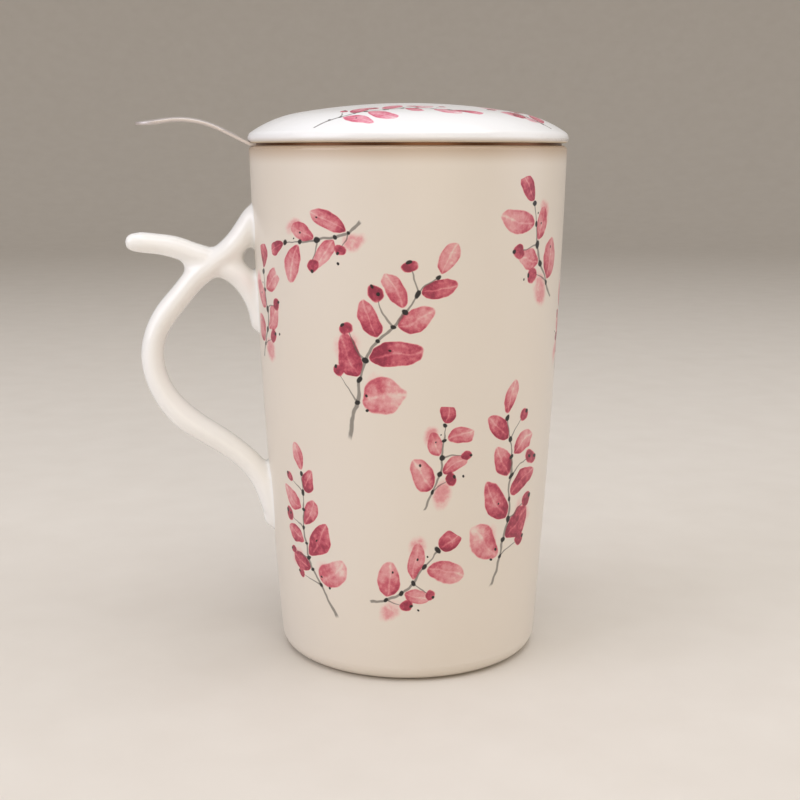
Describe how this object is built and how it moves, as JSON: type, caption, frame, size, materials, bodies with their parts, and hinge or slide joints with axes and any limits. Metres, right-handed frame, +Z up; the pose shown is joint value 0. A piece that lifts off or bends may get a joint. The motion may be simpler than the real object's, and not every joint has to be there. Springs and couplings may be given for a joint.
{
  "type": "lidded infuser mug",
  "caption": "Tall tapered ceramic tea mug with a branch-shaped handle, a loose domed lid and a lift-out steel infuser with a strip handle.",
  "frame": {"origin": "centre of the mug's foot, on the plane it stands on", "axes": "+Z up along the mug's axis, -X towards the handle and the infuser's strip, X-Z is the mirror plane"},
  "size_m": [0.1192, 0.0866, 0.149],
  "materials": {
    "body_glaze": "satin gloss, warm off-white",
    "handle_glaze": "gloss, ivory white",
    "lid_glaze": "gloss, white",
    "pressed_steel": "satin",
    "perforated_steel": "satin, perforated",
    "strip_steel": "satin"
  },
  "bodies": {
    "mug": {"mug_body": "body_glaze", "mug_handle": "handle_glaze"},
    "infuser": {"infuser_rim": "pressed_steel", "infuser_screen": "perforated_steel", "infuser_base": "perforated_steel", "infuser_base_ring": "pressed_steel", "infuser_handle": "strip_steel"},
    "lid": {"lid": "lid_glaze"}
  },
  "joints": [
    {"name": "infuser_lift", "type": "slide", "parent": "mug", "child": "infuser", "axis": [0, 0, 1], "range_m": [0, 0.11]},
    {"name": "lid_lift", "type": "slide", "parent": "infuser", "child": "lid", "axis": [0, 0, 1], "range_m": [0, 0.06]}
  ]
}
